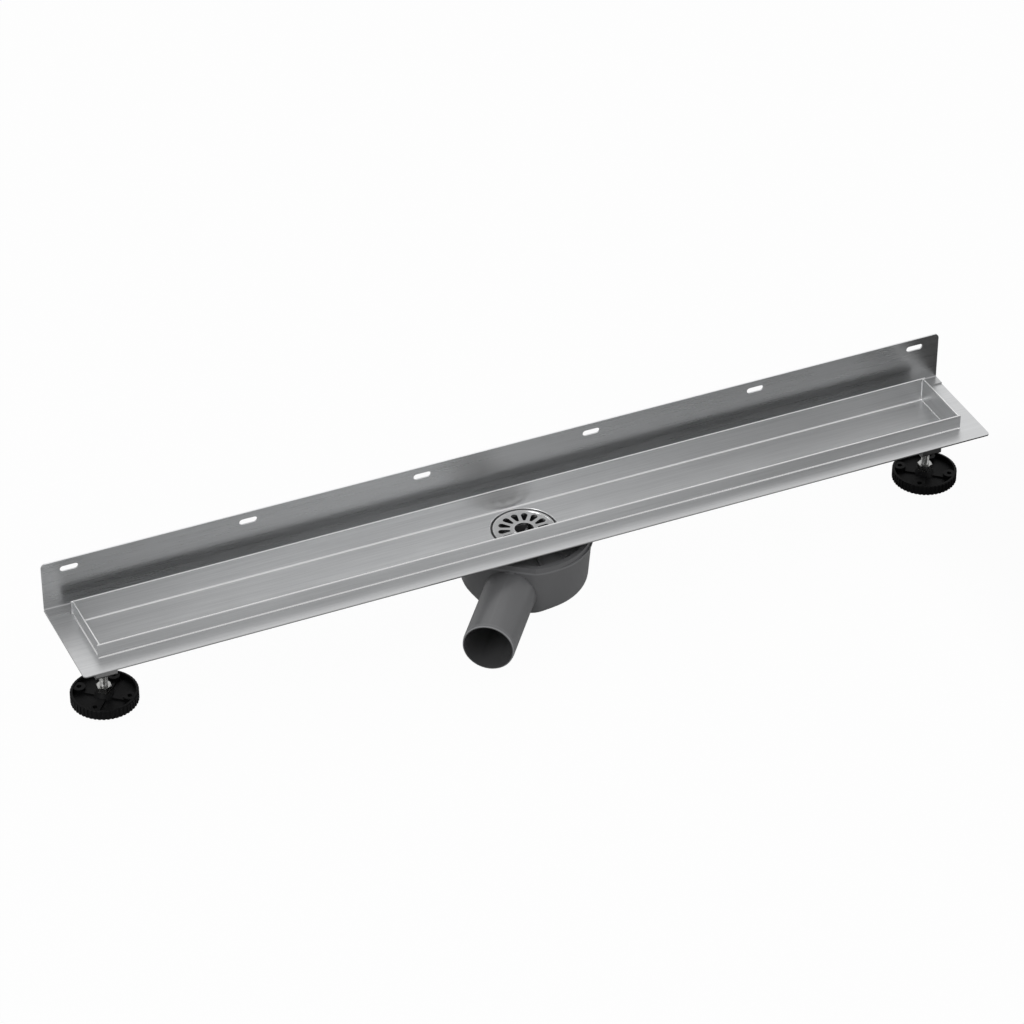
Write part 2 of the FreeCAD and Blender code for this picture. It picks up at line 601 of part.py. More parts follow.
hold = pad(dip, fin, "fin_thick", Midplane=True)
around(dip, hold, "4")

cup = newBody("trap_cup", x="outlet_offset", turn="siphon_turn")
lathe(cup, "Revolution", [
    ("0", "cup_bottom"), ("cup_radius - cup_bevel", "cup_bottom"), ("cup_radius", "cup_bottom + cup_bevel"),
    ("cup_radius", "cup_top"), ("cup_radius - insert_wall", "cup_top"),
    ("cup_radius - insert_wall", "cup_bottom + insert_wall"), ("0", "cup_bottom + insert_wall")])

seal = doc.addObject("Part::Torus", "insert_seal")
seal.Label = "insert_seal"
bind(seal, "Radius1", boreRadius + " - seal_radius")
bind(seal, "Radius2", "seal_radius")
bind(seal, "Placement.Base.x", "outlet_offset")
bind(seal, "Placement.Base.z", ledge + " + insert_rim / 2")


# One screw foot with its bracket; side is -1 at the left end and 1 at the right
def hexNut(label, x, level, bore):
    """A nut standing on its level, its corners bevelled at both ends."""
    prism = doc.addObject("Part::Prism", label + "_prism")
    prism.Polygon = 6
    bind(prism, "Circumradius", "nut_flats / 2 / cos(30)")
    bind(prism, "Height", "nut_height")
    bevels = []
    for end in (0, 1):
        cone = doc.addObject("Part::Cone", label + "_bevel%d" % end)
        small, wide = "nut_flats / 2 * 0.98", "nut_flats / 2 * 0.98 + nut_height * 1.7321"
        bind(cone, "Radius1", wide if end else small)
        bind(cone, "Radius2", small if end else wide)
        bind(cone, "Height", "nut_height")
        bevels.append(cone)
    form = doc.addObject("Part::MultiCommon", label + "_form")
    form.Shapes = [prism] + bevels
    hole = doc.addObject("Part::Cylinder", label + "_hole")
    bind(hole, "Radius", bore)
    bind(hole, "Height", "nut_height")
    nut = doc.addObject("Part::Cut", label)
    nut.Base, nut.Tool = form, hole
    nut.Label = label
    bind(nut, "Placement.Base.x", x)
    bind(nut, "Placement.Base.z", level)
    bind(nut, "Placement.Rotation.Angle", "24 deg")
    return nut


def screwFoot(end, side):
    x = "%d * footReach" % side

    pad_ = newBody("foot_disc_" + end, x=x, z="floor_level")
    hubTop = "pad_height"
    lathe(pad_, "Revolution", [
        ("0", "pad_dish"), ("pad_radius - 3 * pad_wall", "pad_dish"), ("pad_radius - 2 * pad_wall", "0"),
        ("pad_radius", "0"), ("pad_radius", "pad_height - pad_bevel"), ("pad_radius - pad_bevel", "pad_height"),
        ("pad_radius - pad_wall", "pad_height"),
        ("pad_radius - pad_wall", "pad_floor"), ("hub_foot", "pad_floor"), ("hub_radius", hubTop), ("0", hubTop)])
    arms = newSketch(pad_, "XY_Plane", "pad_dish")
    box(arms, "hub_radius", "screw_circle", "-arm_width / 2", "arm_width / 2")
    arm = pad(pad_, arms, "pad_floor - pad_dish + arm_height")
    around(pad_, arm, "screw_count")
    bosses = circle(newSketch(pad_, "XY_Plane", "pad_dish"), "screw_circle", "0", "boss_radius")
    boss = pad(pad_, bosses, "pad_height - pad_dish - boss_drop")
    around(pad_, boss, "screw_count")
    holes = circle(newSketch(pad_, "XY_Plane"), "screw_circle", "0", "screw_radius")
    hole = pocket(pad_, holes, "2 * pad_height", Reversed=True)
    around(pad_, hole, "screw_count")
    grooves = newSketch(pad_, "XY_Plane")
    box(grooves, "pad_radius - groove_depth", "pad_radius + groove_depth", "-groove_width / 2", "groove_width / 2")
    groove = pocket(pad_, grooves, "2 * pad_height", Reversed=True)
    around(pad_, groove, "groove_count")
    socket = circle(newSketch(pad_, "XY_Plane", hubTop + " - stud_socket"), "0", "0", "stud_radius + stud_fit")
    pocket(pad_, socket, "2 * stud_socket", Reversed=True)
    bind(pad_, "Placement.Rotation.Angle", "screw_turn * 1 deg")

    studFoot = "floor_level + %s - stud_socket" % hubTop
    stud = newBody("foot_stud_" + end, x=x, z=studFoot)
    pad(stud, circle(newSketch(stud, "XY_Plane"), "0", "0", "stud_radius"), "stud_length")
    dress(stud, "Chamfer", "stud_chamfer", lambda e: isinstance(e.Curve, Part.Circle))

    hexNut("foot_hexagon_" + end, x, "floor_level + pad_height + hub_gap", "stud_radius")
    hexNut("bracket_nut_" + end, x, "-bracket_drop + bracket_thick", "stud_radius + stud_fit")

    bracket = newBody("foot_bracket_" + end, x=x)
    under, wingUnder = "-bracket_drop", floorUnder + " - bracket_thick"
    web, wing, inside = "bracket_half", "(bracket_half + bracket_wing)", "(bracket_half - bracket_thick)"
    small, large = "bracket_bend", "bracket_bend + bracket_thick"
    hat = polygon(newSketch(bracket, "YZ_Plane"), [
        ("-" + wing, floorUnder), ("-" + wing, wingUnder), ("-" + web, wingUnder, small),
        ("-" + web, under, large), (web, under, large), (web, wingUnder, small),
        (wing, wingUnder), (wing, floorUnder), (inside, floorUnder, large),
        (inside, under + " + bracket_thick", small), ("-" + inside, under + " + bracket_thick", small),
        ("-" + inside, floorUnder, large)])
    pad(bracket, hat, "bracket_length", Midplane=True)
    hole = circle(newSketch(bracket, "XY_Plane", under), "0", "0", "stud_radius + stud_way")
    pocket(bracket, hole, "2 * bracket_thick", Reversed=True)


screwFoot("left", -1)
screwFoot("right", 1)

doc.recompute()

# Every feature must have worked before anything is written
names = ["channel_trough", "end_wall_left", "end_wall_right", "sealing_flange", "wall_upstand",
         "strainer_plate", "clamp_ring", "outlet_gasket", "siphon_cover", "siphon_body",
         "dip_tube", "trap_cup", "insert_seal"]
for end in ("left", "right"):
    names += [kind + end for kind in ("foot_disc_", "foot_stud_", "foot_hexagon_", "bracket_nut_", "foot_bracket_")]
for thing in doc.Objects:
    if "Invalid" in thing.State or "Error" in thing.State:
        raise RuntimeError("%s failed: %s" % (thing.Label, thing.State))
os.makedirs("parts", exist_ok=True)
parts = [doc.getObjectsByLabel(name)[0] for name in names]
for part in parts:
    if part.Shape.isNull() or not part.Shape.isValid() or not part.Shape.Solids:
        raise RuntimeError("%s has no sound shape" % part.Label)
for part in parts:
    part.Shape.exportStep("parts/%s.step" % part.Label)
    print("%-20s solids %d  volume %10.1f mm3" % (part.Label, len(part.Shape.Solids), part.Shape.Volume))
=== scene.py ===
import math

import bmesh
import bpy
from mathutils import Euler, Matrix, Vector


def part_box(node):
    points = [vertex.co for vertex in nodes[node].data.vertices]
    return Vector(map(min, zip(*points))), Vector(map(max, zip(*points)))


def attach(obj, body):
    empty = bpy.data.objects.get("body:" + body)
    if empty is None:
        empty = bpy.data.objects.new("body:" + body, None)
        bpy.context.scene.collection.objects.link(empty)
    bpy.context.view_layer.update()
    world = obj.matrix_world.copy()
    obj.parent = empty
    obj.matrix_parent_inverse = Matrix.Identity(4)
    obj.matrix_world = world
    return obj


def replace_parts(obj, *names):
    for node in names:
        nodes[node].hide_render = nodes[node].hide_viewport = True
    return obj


# Channel drain: brushed steel channel with a wall upstand, moulded siphon, two screw feet.
# Everything is in metres, in the frame of the CAD part.

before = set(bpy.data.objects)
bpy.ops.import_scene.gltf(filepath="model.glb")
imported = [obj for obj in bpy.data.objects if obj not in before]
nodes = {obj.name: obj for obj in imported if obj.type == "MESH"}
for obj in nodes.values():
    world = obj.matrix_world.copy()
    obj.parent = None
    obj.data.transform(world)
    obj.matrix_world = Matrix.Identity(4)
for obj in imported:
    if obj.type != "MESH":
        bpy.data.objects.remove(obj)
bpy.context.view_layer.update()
print("frame loaded,", len(nodes), "nodes")


# Shader building

class Wire:
    # an output socket that can be used in sums, on either side

    def __init__(self, paint, socket):
        self.paint, self.socket = paint, socket

    def __add__(self, other):
        return self.paint.maths("ADD", self, other)

    def __radd__(self, other):
        return self.paint.maths("ADD", other, self)

    def __sub__(self, other):
        return self.paint.maths("SUBTRACT", self, other)

    def __rsub__(self, other):
        return self.paint.maths("SUBTRACT", other, self)

    def __mul__(self, other):
        return self.paint.maths("MULTIPLY", self, other)

    def __rmul__(self, other):
        return self.paint.maths("MULTIPLY", other, self)

    def size(self):
        return self.paint.maths("ABSOLUTE", self)


class Paint:
    # the node tree of a material, or of the world round the scene, and short ways to fill it

    def __init__(self, name, home=None):
        self.home = home or bpy.data.materials.new(name)
        self.home.use_nodes = True
        self.tree = self.home.node_tree
        ready = self.tree.links[0]                         # from the first shader to the surface
        self.shader, self.surface = ready.from_node, ready.to_socket

    def node(self, kind, settings=(), inputs=()):
        made = self.tree.nodes.new("ShaderNode" + kind)
        for key, value in dict(settings).items():
            setattr(made, key, value)
        for key, value in dict(inputs).items():
            self.feed(made.inputs[key], value)
        return made

    def feed(self, socket, value):
        if isinstance(value, Wire):
            self.tree.links.new(value.socket, socket)
        elif socket.type == "RGBA" and len(value) == 3:
            socket.default_value = (*value, 1)
        else:
            socket.default_value = value

    def maths(self, operation, *values):
        made = self.node("Math", {"operation": operation}, enumerate(values))
        return Wire(self, made.outputs[0])

    def place(self, scale=(1, 1, 1)):
        where = self.node("TexCoord")
        spread = self.node("VectorMath", {"operation": "MULTIPLY"},
                           {0: Wire(self, where.outputs["Object"]), 1: scale})
        return Wire(self, spread.outputs[0])

    def axes(self):
        split = self.node("SeparateXYZ", {}, {0: self.place()})
        return [Wire(self, out) for out in split.outputs]

    def noise(self, place, scale=1.0, detail=2.0, rough=0.5):
        # swings about 0, seldom past 0.3
        made = self.node("TexNoise", {}, {"Vector": place, "Scale": scale, "Detail": detail,
                                          "Roughness": rough})
        return Wire(self, made.outputs[0]) - 0.5

    def band(self, value, start, stop):
        # 0 at start, 1 at stop, smooth between
        made = self.node("MapRange", {"interpolation_type": "SMOOTHSTEP"},
                         {0: value, 1: start, 2: stop, 3: 0.0, 4: 1.0})
        return Wire(self, made.outputs[0])

    def reach(self, across, up):
        # distance from an axis
        return self.maths("SQRT", across * across + up * up)

    def tint(self, colour, tone):
        made = self.node("VectorMath", {"operation": "SCALE"}, {0: colour, "Scale": tone})
        return Wire(self, made.outputs[0])

    def relief(self, height, strength, distance):
        made = self.node("Bump", {}, {"Strength": strength, "Distance": distance, "Height": height})
        self.feed(self.shader.inputs["Normal"], Wire(self, made.outputs[0]))

    def set(self, **values):
        for key, value in values.items():
            self.feed(self.shader.inputs[key.replace("_", " ")], value)

    def cameraRay(self):
        return Wire(self, self.node("LightPath").outputs["Is Camera Ray"])

    def cover(self, shader, share):
        # another shader takes this share of the first one's place
        blend = self.node("MixShader", {}, {0: share, 1: Wire(self, self.shader.outputs[0]),
                                            2: Wire(self, shader.outputs[0])})
        self.feed(self.surface, Wire(self, blend.outputs[0]))


def dressNode(paint, *names):
    for name in names:
        for slot in nodes[name].material_slots:
            slot.link = "OBJECT"
            slot.material = paint.home


# Brushed sheet steel. The streaks run along the long side of the sheet.

sheetLook = {
    "colour": (0.69, 0.695, 0.70),
    "rough": 0.34,
    "streakTone": 0.34,        # lighter and darker streaks
    "longTone": 0.20,          # the same in broader streaks
    "longScale": 0.22,
    "streakRough": 0.22,
    "streakBump": 0.10,
    "bumpHeight": 0.0004,
    "cloudScale": 7.0,         # slow changes over the sheet
    "cloudStretch": (1, 2.5, 2.5),
    "cloudTone": 0.10,
    "cloudRough": 0.08,
}
alongChannel = (16, 950, 950)
acrossChannel = (950, 16, 950)
alongBracket = (60, 900, 60)
evenGrain = (60, 60, 60)


def brushedSteel(name, look, streak, paintedLight=None):
    paint = Paint(name)
    fine = paint.noise(paint.place(streak), 1.0, 3.0, 0.62)
    long = paint.noise(paint.place([s * look["longScale"] for s in streak]), 1.0, 2.0)
    cloud = paint.noise(paint.place(look["cloudStretch"]), look["cloudScale"], 2.0)
    tone = 1 + fine * look["streakTone"] + long * look["longTone"] + cloud * look["cloudTone"]
    # painted light and shade, where the part is given them
    if paintedLight:
        tone = tone * paintedLight(paint)
    paint.set(Base_Color=paint.tint(look["colour"], tone), Metallic=1.0,
              Roughness=look["rough"] + fine * look["streakRough"] + cloud * look["cloudRough"])
    paint.relief(fine, look["streakBump"], look["bumpHeight"])
    return paint


troughPaintedLight = {
    "tone": 0.90,
    "top": (0.0136, 0.0139),           # height of the cut top edges, a painted highlight
    "topTone": 0.05,
    "foldFromMiddle": 0.0347,          # folds between floor and walls, a painted highlight
    "foldWidth": (0.0009, 0.0003),
    "foldHeight": (-0.0086, -0.0094),
    "foldTone": 0.90,
    "patchAt": -0.12,                  # broad lighter patch left of the middle, painted light
    "patchWidth": (0.42, 0.10),
    "patchTone": 0.19,
    "outside": (-0.0362, -0.0366),     # outside of the front wall, painted shade darker to the right
    "outsideRun": (-0.1, 0.4),
    "outsideTone": 0.12,
}
# painted light and shade on the upstand
upstandPaintedLight = {
    "leftEnd": (-0.33, -0.47),
    "leftTone": 0.02,
    "rightEnd": (0.36, 0.455),
    "rightTone": 0.15,
    "patchAt": -0.12,
    "patchWidth": (0.16, 0.0),
    "patchTone": 0.08,
    "foot": (0.030, 0.004),
    "footTone": 0.04,
    "cutEdge": (0.0519, 0.0523),
    "cutTone": 0.4,
}
# painted shade on the lower part of the flange's cut edge
flangePaintedShade = {
    "cutEdge": (-0.0004, -0.0012),
    "cutTone": 0.68,
}


# painted light and shade on the trough and its end walls: highlights on the cut top edges and folds, a
# lighter patch, shade on the outside of the front wall
def paintTroughLight(paint):
    look = troughPaintedLight
    x, y, z = paint.axes()
    top = paint.band(z, *look["top"])
    fold = (paint.band((y.size() - look["foldFromMiddle"]).size(), *look["foldWidth"])
            * paint.band(z, *look["foldHeight"]))
    patch = paint.band((x - look["patchAt"]).size(), *look["patchWidth"])
    outside = paint.band(y, *look["outside"]) * paint.band(x, *look["outsideRun"])
    return ((1 + top * look["topTone"] + fold * look["foldTone"])
            * (look["tone"] + patch * look["patchTone"] - outside * look["outsideTone"]))


def paintUpstandLight(paint):
    # painted shade: darker towards both ends and along the foot; painted light: a lighter patch left of the
    # middle and a highlight on the cut top edge
    look = upstandPaintedLight
    x, y, z = paint.axes()
    patch = paint.band((x - look["patchAt"]).size(), *look["patchWidth"])
    darker = (paint.band(x, *look["leftEnd"]) * look["leftTone"]
              + paint.band(x, *look["rightEnd"]) * look["rightTone"]
              + paint.band(z, *look["foot"]) * look["footTone"])
    return 1 + patch * look["patchTone"] + paint.band(z, *look["cutEdge"]) * look["cutTone"] - darker


# painted shade, darker along the lower part of the cut edge and under it
def paintFlangeShade(paint):
    x, y, z = paint.axes()
    return 1 - paint.band(z, *flangePaintedShade["cutEdge"]) * flangePaintedShade["cutTone"]


upstandLook = {**sheetLook, "colour": (0.58, 0.585, 0.59), "rough": 0.30, "streakTone": 0.22,
               "longTone": 0.08}
flangeLook = {**sheetLook, "colour": (0.60, 0.605, 0.61)}
# the brackets' darker steel is painted shade under the flange
bracketLook = {**sheetLook, "colour": (0.32, 0.32, 0.32), "streakTone": 0.2}

dressNode(brushedSteel("brushed_trough", sheetLook, alongChannel, paintTroughLight), "channel_trough")
dressNode(brushedSteel("brushed_upstand", upstandLook, alongChannel, paintUpstandLight), "wall_upstand")
dressNode(brushedSteel("brushed_flange", flangeLook, alongChannel, paintFlangeShade), "sealing_flange")
dressNode(brushedSteel("brushed_end_wall", sheetLook, acrossChannel, paintTroughLight),
          "end_wall_left", "end_wall_right")
dressNode(brushedSteel("brushed_bracket", bracketLook, alongBracket),
          "foot_bracket_left", "foot_bracket_right")


# Strainer: a pressed plate with a turned finish, brighter than the sheet

strainerLook = {
    "colour": (0.76, 0.76, 0.76),
    "rough": 0.22,
    "centre": (-0.0052, 0.0),
    "rings": 950,              # turned rings to the metre
    "ringTone": 0.05,
    "cloudScale": 240.0,
    "cloudTone": 0.12,
    "cloudRough": 0.10,
    "border": (-0.0113, -0.0109),
    "borderTone": 0.12,
    "bump": 0.06,
    "bumpHeight": 0.0003,
}


def turnedSteel(name, look):
    paint = Paint(name)
    x, y, z = paint.axes()
    radius = paint.reach(x - look["centre"][0], y - look["centre"][1])
    rings = paint.maths("SINE", radius * (look["rings"] * 2 * math.pi))
    cloud = paint.noise(paint.place(), look["cloudScale"], 2.0)
    border = paint.band(z, *look["border"])
    tone = 1 + rings * look["ringTone"] + cloud * look["cloudTone"] + border * look["borderTone"]
    paint.set(Base_Color=paint.tint(look["colour"], tone), Metallic=1.0,
              Roughness=look["rough"] + cloud * look["cloudRough"])
    paint.relief(rings * 0.5 + cloud, look["bump"], look["bumpHeight"])
    return paint


dressNode(turnedSteel("turned_strainer", strainerLook), "strainer_plate")
print("sheet steel done")


# Moulded siphon, feet and seals

siphonLook = {
    "colour": (0.112, 0.113, 0.116),
    "rough": 0.33,
    "gloss": 0.5,
    "grainScale": 1500.0,      # fine spark-eroded grain of the mould
    "grainTone": 0.16,
    "grainBump": 0.14,
    "bumpHeight": 0.0002,
    "cloudScale": 45.0,
    "cloudTone": 0.14,
    "cloudRough": 0.10,
}
insertLook = {**siphonLook, "colour": (0.022, 0.022, 0.023)}
footLook = {**siphonLook, "colour": (0.0042, 0.0042, 0.0045), "rough": 0.50, "gloss": 0.10,
            "grainScale": 2200.0, "grainTone": 0.3}
rubberLook = {**siphonLook, "colour": (0.022, 0.022, 0.022), "rough": 0.72, "gloss": 0.3, "grainTone": 0.35}


def mouldedPlastic(name, look, paintedLight=None):
    paint = Paint(name)
    grain = paint.noise(paint.place(), look["grainScale"], 2.0)
    cloud = paint.noise(paint.place(), look["cloudScale"], 3.0)
    tone = 1 + grain * look["grainTone"] + cloud * look["cloudTone"]
    # painted light and shade, where the part is given them
    if paintedLight:
        tone = tone * paintedLight(paint)
    paint.set(Base_Color=paint.tint(look["colour"], tone), Specular_IOR_Level=look["gloss"],
              Roughness=look["rough"] + cloud * look["cloudRough"])
    paint.relief(grain, look["grainBump"], look["bumpHeight"])
    return paint


# Outlet pipe: places along it are measured from the axis of the outlet

pipe = {
    "centre": -0.0052,         # outlet's axis along the channel
    "level": -0.0447,          # height of the pipe's axis
    "turn": -37.7,             # pipe from -Y, degrees
    "start": 0.050,            # inside the bowl
    "shoulder": 0.0624,        # end of the thicker root
    "shoulderStep": 0.0010,
    "shoulderRadius": 0.0255,
    "radius": 0.0250,
    "mouth": 0.1467,
    "bevelFrom": 0.0034,       # bevel, measured back from the mouth
    "bevelTo": 0.0004,
    "bevelRadius": 0.02455,
    "mouthRadius": 0.0241,
    "bore": 0.0232,
    "boreStart": 0.045,
    "boreEnd": 0.148,
    "around": 96,
}
pipeTone = {
    "outside": (0.0238, 0.0241),       # radius between the bore and the outside
    "root": (0.060, 0.064),
    # a little lighter along the pipe beyond its root
    "pipeTone": 0.06,
    "edge": (0.0012, 0.0008),          # cut edge, measured back from the mouth, a painted highlight
    "edgeTone": 0.85,
    # painted highlight on the bevel
    "bevel": (0.0046, 0.0042),
    "bevelTone": 0.16,
    # painted shade inside the bore
    "insideTone": 0.35,
    "lipLow": (-0.0198, -0.0194),      # lip round the bowl's rim, a painted highlight on the real lip
    "lipHigh": (-0.0172, -0.0176),
    "lipTone": 0.45,
}
pipeTurn = math.radians(pipe["turn"])
pipeWay = (math.sin(pipeTurn), -math.cos(pipeTurn))
pipeSide = (math.cos(pipeTurn), math.sin(pipeTurn))


def paintPipeLight(paint):
    # painted highlights on the cut edge and bevel at the pipe's mouth, a little lighter along the pipe beyond
    # its root, painted shade inside the bore, a painted highlight on the lip round the bowl's rim
    look, mouth = pipeTone, pipe["mouth"]
    x, y, z = paint.axes()
    east = x - pipe["centre"]
    along = east * pipeWay[0] + y * pipeWay[1]
    radius = paint.reach(east * pipeSide[0] + y * pipeSide[1], z - pipe["level"])
    outside = paint.band(radius, *look["outside"])
    edge = paint.band(along, mouth - look["edge"][0], mouth - look["edge"][1])
    bevel = paint.band(along, mouth - look["bevel"][0], mouth - look["bevel"][1])
    pipeBeyondRoot = paint.band(along, *look["root"])
    inside = paint.band(along, look["root"][0], mouth) * (1 - outside)
    lip = paint.band(z, *look["lipLow"]) * paint.band(z, *look["lipHigh"])
    return (1 + outside * (edge * look["edgeTone"] + bevel * look["bevelTone"] + pipeBeyondRoot * look["pipeTone"])
            - inside * look["insideTone"] + lip * look["lipTone"])


gripHighlight = {
    "radius": (0.0115, 0.0105),
    "height": (-0.0192, -0.0187),
    "tone": 9,
}


def paintGripHighlight(paint):
    # painted highlight on the top of the grip bar under the finger hole
    x, y, z = paint.axes()
    radius = paint.reach(x - strainerLook["centre"][0], y)
    return 1 + paint.band(radius, *gripHighlight["radius"]) * paint.band(z, *gripHighlight["height"]) * gripHighlight["tone"]


siphonPlastic = mouldedPlastic("siphon_moulding", siphonLook, paintPipeLight)
dressNode(siphonPlastic, "siphon_body", "siphon_cover")
dressNode(mouldedPlastic("insert_moulding", insertLook, paintGripHighlight), "dip_tube", "trap_cup", "clamp_ring")
dressNode(mouldedPlastic("foot_moulding", footLook), "foot_disc_left", "foot_disc_right")
dressNode(mouldedPlastic("seal_rubber", rubberLook), "outlet_gasket", "insert_seal")
print("mouldings done")


# Zinc plated nuts and studs, and the welds, whose brighter steel is partly a painted highlight along the
# joints

zincLook = {
    "colour": (0.44, 0.44, 0.43),
    "rough": 0.26,
    "cloudScale": 320.0,
    "cloudTone": 0.35,
    "cloudRough": 0.30,
    "spotScale": 0.3,          # larger spots
    "spotStretch": (1, 1, 2),
    "spotTone": 0.5,
    "bump": 0.08,
    "bumpHeight": 0.0003,
}
# the beads are real, their brightness over the sheet partly a painted highlight
weldLook = {**zincLook, "colour": (0.86, 0.86, 0.86), "rough": 0.27, "cloudScale": 300.0,
            "cloudTone": 0.12, "cloudRough": 0.12}


def platedSteel(name, look):
    paint = Paint(name)
    cloud = paint.noise(paint.place(), look["cloudScale"], 3.0, 0.6)
    spots = paint.noise(paint.place(look["spotStretch"]), look["cloudScale"] * look["spotScale"], 2.0)
    tone = 1 + cloud * look["cloudTone"] + spots * (look["cloudTone"] * look["spotTone"])
    paint.set(Base_Color=paint.tint(look["colour"], tone), Metallic=1.0,
              Roughness=look["rough"] + cloud * look["cloudRough"])
    paint.relief(cloud, look["bump"], look["bumpHeight"])
    return paint


zinc = platedSteel("zinc_plate", zincLook)
dressNode(zinc, "foot_hexagon_left", "foot_hexagon_right", "bracket_nut_left", "bracket_nut_right")


# Making pieces

creaseAngle = 40               # faces that meet more sharply stay crisp, degrees


def faceOut(mesh):
    bm = bmesh.new()
    bm.from_mesh(mesh)
    bmesh.ops.recalc_face_normals(bm, faces=bm.faces)
    bm.to_mesh(mesh)
    bm.free()


def skin(name, rows):
    # closed mesh over rings of points, from one cap to the other
    around, last = len(rows[0]), (len(rows) - 1) * len(rows[0])
    faces = [tuple(reversed(range(around)))]
    for start in range(0, last, around):
        for k in range(around):
            a, b = start + k, start + (k + 1) % around
            faces.append((a, b, b + around, a + around))
    faces.append(tuple(range(last, last + around)))
    mesh = bpy.data.meshes.new(name)
    mesh.from_pydata([tuple(point) for row in rows for point in row], [], faces)
    faceOut(mesh)
    return mesh


def asForm(mesh):
    # an object to carve with
    form = bpy.data.objects.new(mesh.name, mesh)
    bpy.context.scene.collection.objects.link(form)
    return form


def newPiece(name, mesh, paint, body):
    piece = bpy.data.objects.new(name, mesh)
    bpy.context.scene.collection.objects.link(piece)
    mesh.materials.append(paint.home)
    for face in mesh.polygons:
        face.use_smooth = True
    mesh.set_sharp_from_angle(angle=math.radians(creaseAngle))
    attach(piece, body)
    return piece


# Siphon body: bowl, flat-faced hood and pipe are one moulding with soft runs between them

bowl = {
    "rim": 0.065,
    "foot": 0.0608,
    "face": 0.060,             # flat face in front of the axis
    "half": 0.0256,            # half its width
    "faceEnd": 1.2,            # the face cuts the bowl this far round from the pipe, radians
    "top": -0.0175,
    "bottom": -0.0696,
    "edge": 0.0106,            # rounding of the bottom edge, under the bowl and under the hood
    "hoodEdge": 0.0104,
    "edgeRun": (16, 40),       # from the one to the other, degrees from the pipe
    "edgeRings": 8,
    "wallRings": 6,
    "wall": 0.0025,
    "soft": 5.0,               # how softly the hood runs into the bowl, degrees
    "softStart": (11, 20),     # between these degrees from the pipe
    "softEnd": (72, 58),
    "lip": 0.0014,
    "lipHeight": 0.0020,
    "lipRun": (38, 60),        # the lip fades out over the pipe, degrees
    "overTop": 0.0020,         # the core stands out over the rim
    "smallest": 0.0005,        # smallest rounding inside
    "steps": 240,
}


def smooth(value, start, stop):
    t = min(max((value - start) / (stop - start), 0), 1)
    return t * t * (3 - 2 * t)


def fromPipe(step):
    # degrees round from the pipe, to either side
    return abs((step * 360 / bowl["steps"] + 180) % 360 - 180)


def bowlOutline(level, wall):
    # distance from the axis for each step round, step 0 towards the pipe
    steps, share = bowl["steps"], (level - bowl["bottom"]) / (bowl["top"] - bowl["bottom"])
    disc = bowl["foot"] + (bowl["rim"] - bowl["foot"]) * share - wall
    face, half = bowl["face"] - wall, bowl["half"] - wall
    corner, reach = math.atan2(half, face), math.hypot(half, face)
    touch = corner + math.acos(min(disc / reach, 1))
    plain = []
    for step in range(steps):
        angle = math.radians(fromPipe(step))
        radius = disc
        if angle < corner:
            radius = face / math.cos(angle)
        elif angle < touch:
            radius = disc / math.cos(angle - touch)
        if angle < bowl["faceEnd"]:
            radius = min(radius, face / math.cos(angle))
        plain.append(radius)
    spread = bowl["soft"] * steps / 360
    far = int(3 * spread) + 1
    weights = [math.exp(-0.5 * (k / spread) ** 2) for k in range(-far, far + 1)]
    outline = []
    for step in range(steps):
        near = [plain[(step + k) % steps] for k in range(-far, far + 1)]
        mean = sum(w * radius for w, radius in zip(weights, near)) / sum(weights)
        share = smooth(fromPipe(step), *bowl["softStart"]) * smooth(fromPipe(step), *bowl["softEnd"])
        outline.append(plain[step] + (mean - plain[step]) * share)
    return outline


def bowlPoint(step, radius, z):
    angle = 2 * math.pi * step / bowl["steps"]
    side, ahead = radius * math.sin(angle), radius * math.cos(angle)
    return (pipe["centre"] + side * pipeSide[0] + ahead * pipeWay[0],
            side * pipeSide[1] + ahead * pipeWay[1], z)


def bowlForm(name, wall):
    # the bowl's outside, or its core where a wall is given
    steps, bottom, top = bowl["steps"], bowl["bottom"] + wall, bowl["top"]
    edges = []
    for step in range(steps):
        edge = bowl["hoodEdge"] + (bowl["edge"] - bowl["hoodEdge"]) * smooth(fromPipe(step), *bowl["edgeRun"])
        edges.append(max(edge - wall, bowl["smallest"]))
    rows = []
    for k in range(bowl["edgeRings"] + 1):                 # up the rounded edge
        bend = math.pi / 2 * k / bowl["edgeRings"]
        outline = bowlOutline(bottom + max(edges) * (1 - math.cos(bend)), wall)
        rows.append([bowlPoint(step, radius - edge * (1 - math.sin(bend)),
                               bottom + edge * (1 - math.cos(bend)))
                     for step, (radius, edge) in enumerate(zip(outline, edges))])
    start, stop = bottom + max(edges), top - (0 if wall else bowl["lipHeight"])
    for k in range(bowl["wallRings"]):
        level = start + (stop - start) * (k + 1) / bowl["wallRings"]
        rows.append([bowlPoint(step, radius, level) for step, radius in enumerate(bowlOutline(level, wall))])
    if wall:
        rows.append([bowlPoint(step, radius, top + bowl["overTop"])
                     for step, radius in enumerate(bowlOutline(top, wall))])
    else:
        lip = [bowl["lip"] * smooth(fromPipe(step), *bowl["lipRun"]) + 0.00001 for step in range(steps)]
        for level in (stop, top):
            rows.append([bowlPoint(step, radius + lip[step], level)
                         for step, radius in enumerate(bowlOutline(level, wall))])
    return asForm(skin(name, rows))


def pipeForm(name, profile):
    # turned about the pipe's axis; profile is (distance from the outlet's axis, radius)
    rows = []
    for along, radius in profile:
        row = []
        for k in range(pipe["around"]):
            angle = 2 * math.pi * (k + 0.5) / pipe["around"]
            across, rise = radius * math.cos(angle), radius * math.sin(angle)
            row.append((pipe["centre"] + pipeWay[0] * along + pipeSide[0] * across,
                        pipeWay[1] * along + pipeSide[1] * across, pipe["level"] + rise))
        rows.append(row)
    return asForm(skin(name, rows))


